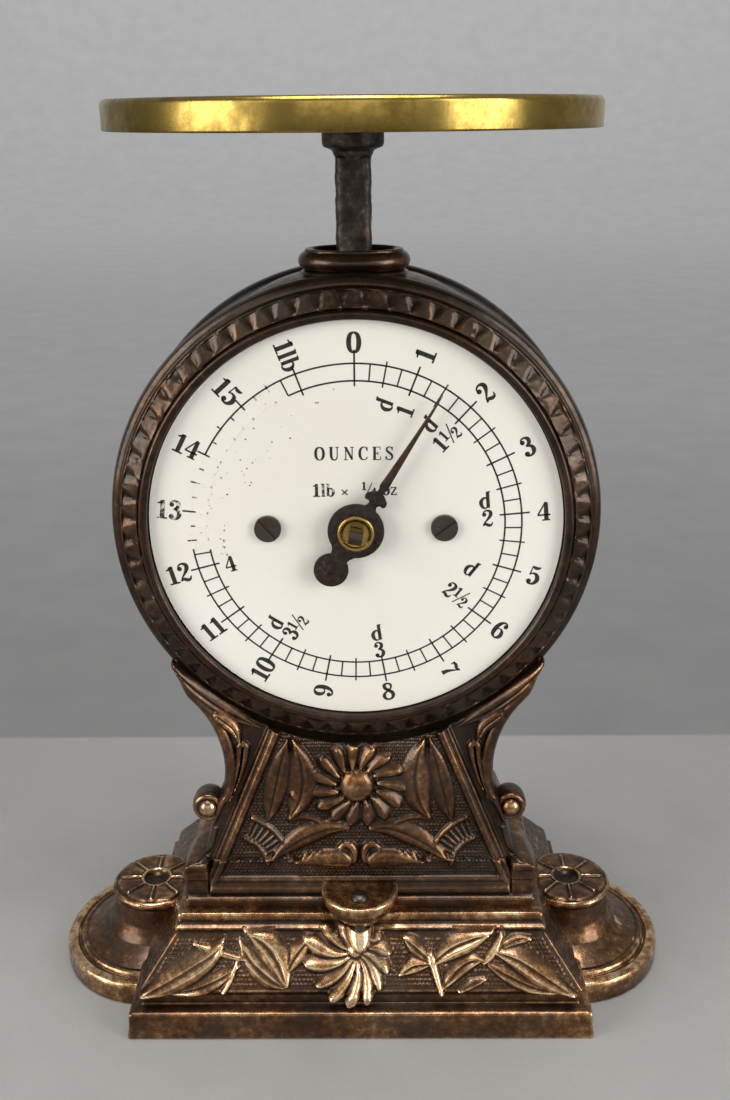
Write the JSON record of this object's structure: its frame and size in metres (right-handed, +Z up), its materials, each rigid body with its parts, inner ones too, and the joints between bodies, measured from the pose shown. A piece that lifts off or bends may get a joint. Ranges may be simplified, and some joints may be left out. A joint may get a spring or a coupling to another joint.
{
  "type": "letter scale",
  "caption": "Spring letter scale: round brass pan on a stem, white dial with a pointer in a drum case, on an ornamental cast base.",
  "frame": {"origin": "middle of the underside of the base, on the table, straight below the stem", "axes": "+Z up, +X to the reader's right across the dial, +Y away from the reader"},
  "size_m": [0.174, 0.1142, 0.2362],
  "materials": {
    "cast_bronze_lacquer": "bronze lacquer over cast iron, worn copper-gold on the raised edges",
    "japanned_cover": "black-brown japanned sheet",
    "enamel_dial": "glossy cream-white enamel with dark printed scale",
    "dark_screw_steel": "dull dark steel",
    "movement_brass": "plain movement brass",
    "movement_steel": "plain movement steel",
    "arbor_steel": "grey steel",
    "spring_steel": "drawn spring wire",
    "stem_iron": "dark rough iron with a little rust",
    "pan_brass": "polished brass with tarnish",
    "collet_brass": "turned brass",
    "pointer_blued": "blackened steel with rust on the shaft"
  },
  "bodies": {
    "case": {"base_casting": "cast_bronze_lacquer", "body_casting": "cast_bronze_lacquer", "casting_screws": "dark_screw_steel", "dial_plate": "enamel_dial", "dial_spacers": "movement_brass", "dial_screws": "dark_screw_steel", "frame_plate": "movement_brass", "frame_screws": "dark_screw_steel", "front_bush": "movement_brass", "rear_bridge": "movement_brass", "bridge_pillars": "movement_brass", "bridge_screws": "dark_screw_steel", "rear_bush": "movement_brass", "spring_crossbar": "movement_steel", "crossbar_standoffs": "movement_brass", "crossbar_screws": "dark_screw_steel", "left_spring": "spring_steel", "right_spring": "spring_steel", "upper_link_stud": "movement_steel", "lower_link_stud": "movement_steel", "back_cover": "japanned_cover", "back_cover_screws": "dark_screw_steel"},
    "carriage": {"stem": "stem_iron", "stem_nut": "movement_steel", "pan_spider": "movement_steel", "spider_screw": "dark_screw_steel", "carriage_top_bar": "movement_steel", "carriage_rods": "movement_steel", "rod_nuts": "movement_steel", "carriage_bottom_bar": "movement_steel", "rack": "movement_brass", "rack_screws": "dark_screw_steel", "upper_link_pin": "movement_steel", "lower_link_pin": "movement_steel"},
    "pan": {"pan": "pan_brass"},
    "pointer": {"arbor": "arbor_steel", "pinion": "movement_brass", "pointer": "pointer_blued", "pointer_collet": "collet_brass"},
    "upper_guide": {"upper_link": "movement_steel"},
    "lower_guide": {"lower_link": "movement_steel"}
  },
  "joints": [
    {"name": "load_slide", "type": "slide", "parent": "case", "child": "carriage", "axis": [0, 0, -1], "range_m": [-0.00133, 0.01291], "stiffness_N_per_m": 312.5, "springref_m": -0.007, "deforming": ["left_spring", "right_spring"]},
    {"name": "pan_lift", "type": "slide", "parent": "carriage", "child": "pan", "axis": [0, 0, 1], "range_m": [0, 0.02]},
    {"name": "pointer_turn", "type": "hinge", "parent": "case", "child": "pointer", "pos_m": [0, 0, 0.1379], "axis": [0, 1, 0], "range_deg": [-31.9, 308.5]},
    {"name": "upper_link_turn", "type": "hinge", "parent": "case", "child": "upper_guide", "pos_m": [-0.026, 0.0073, 0.17421], "axis": [0, 1, 0], "range_deg": [-2.2, 20.7]},
    {"name": "lower_link_turn", "type": "hinge", "parent": "case", "child": "lower_guide", "pos_m": [-0.026, 0.0073, 0.09721], "axis": [0, 1, 0], "range_deg": [-2.2, 20.7]}
  ],
  "couplings": [
    {"joint": "pointer_turn", "follows": "load_slide", "rad_per_m": 416.67},
    {"joint": "upper_link_turn", "follows": "load_slide", "rad_per_m": 27.778},
    {"joint": "lower_link_turn", "follows": "load_slide", "rad_per_m": 27.778}
  ]
}
